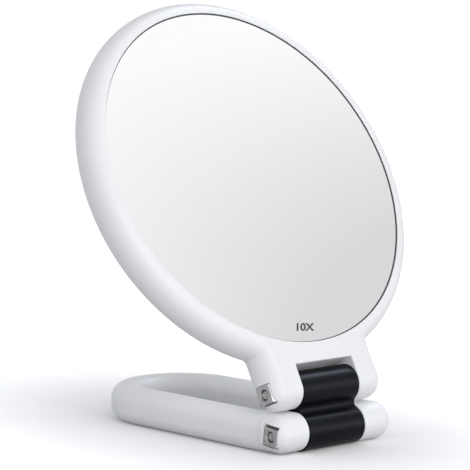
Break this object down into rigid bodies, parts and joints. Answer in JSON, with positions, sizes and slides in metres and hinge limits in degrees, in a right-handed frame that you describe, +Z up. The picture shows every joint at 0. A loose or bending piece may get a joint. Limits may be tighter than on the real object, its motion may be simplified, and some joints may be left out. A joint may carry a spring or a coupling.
{
  "type": "magnifying hand mirror",
  "caption": "Round double-sided hand mirror, magnifying on one side and flat on the other, whose loop handle folds and stands on a short link hinge.",
  "frame": {"origin": "on the table, under the middle of the mirror's box as it stands with the handle flat and the head leaning back", "axes": "+X runs along both hinge axes from the nuts' side to the screw heads' side, the magnifying side faces -Y and up, the handle goes back along +Y, +Z is up"},
  "size_m": [0.1388, 0.1072, 0.1514],
  "materials": {
    "white_plastic": "satin moulded",
    "grey_plastic": "plain moulded",
    "black_plastic": "fine-grained moulded",
    "mirror_glass": "silvered glass",
    "gasket_rubber": "matte",
    "zinc_steel": "dull zinc plated",
    "spring_steel": "oiled spring steel",
    "brass": "turned",
    "nylon": "natural nylon"
  },
  "bodies": {
    "handle": {"handle_upper_shell": "white_plastic", "handle_lower_shell": "white_plastic", "lower_screw": "zinc_steel", "lower_nut": "zinc_steel", "lower_spring_washer": "spring_steel", "lower_left_friction_washer": "nylon", "lower_right_friction_washer": "nylon"},
    "link": {"hinge_link": "black_plastic", "upper_bush": "brass", "lower_bush": "brass"},
    "head": {"head_front_shell": "white_plastic", "head_rear_shell": "white_plastic", "divider_plate": "grey_plastic", "magnifying_glass": "mirror_glass", "magnifying_glass_gasket": "gasket_rubber", "flat_glass": "mirror_glass", "flat_glass_gasket": "gasket_rubber", "upper_screw": "zinc_steel", "upper_nut": "zinc_steel", "upper_spring_washer": "spring_steel", "upper_left_friction_washer": "nylon", "upper_right_friction_washer": "nylon"}
  },
  "joints": [
    {"name": "handle_fold", "type": "hinge", "parent": "handle", "child": "link", "pos_m": [0, -0.04705, 0.0066], "axis": [1, 0, 0], "range_deg": [0, 204]},
    {"name": "head_tilt", "type": "hinge", "parent": "link", "child": "head", "pos_m": [0, -0.0441, 0.0205], "axis": [1, 0, 0], "range_deg": [-61.4, 94.6]}
  ]
}
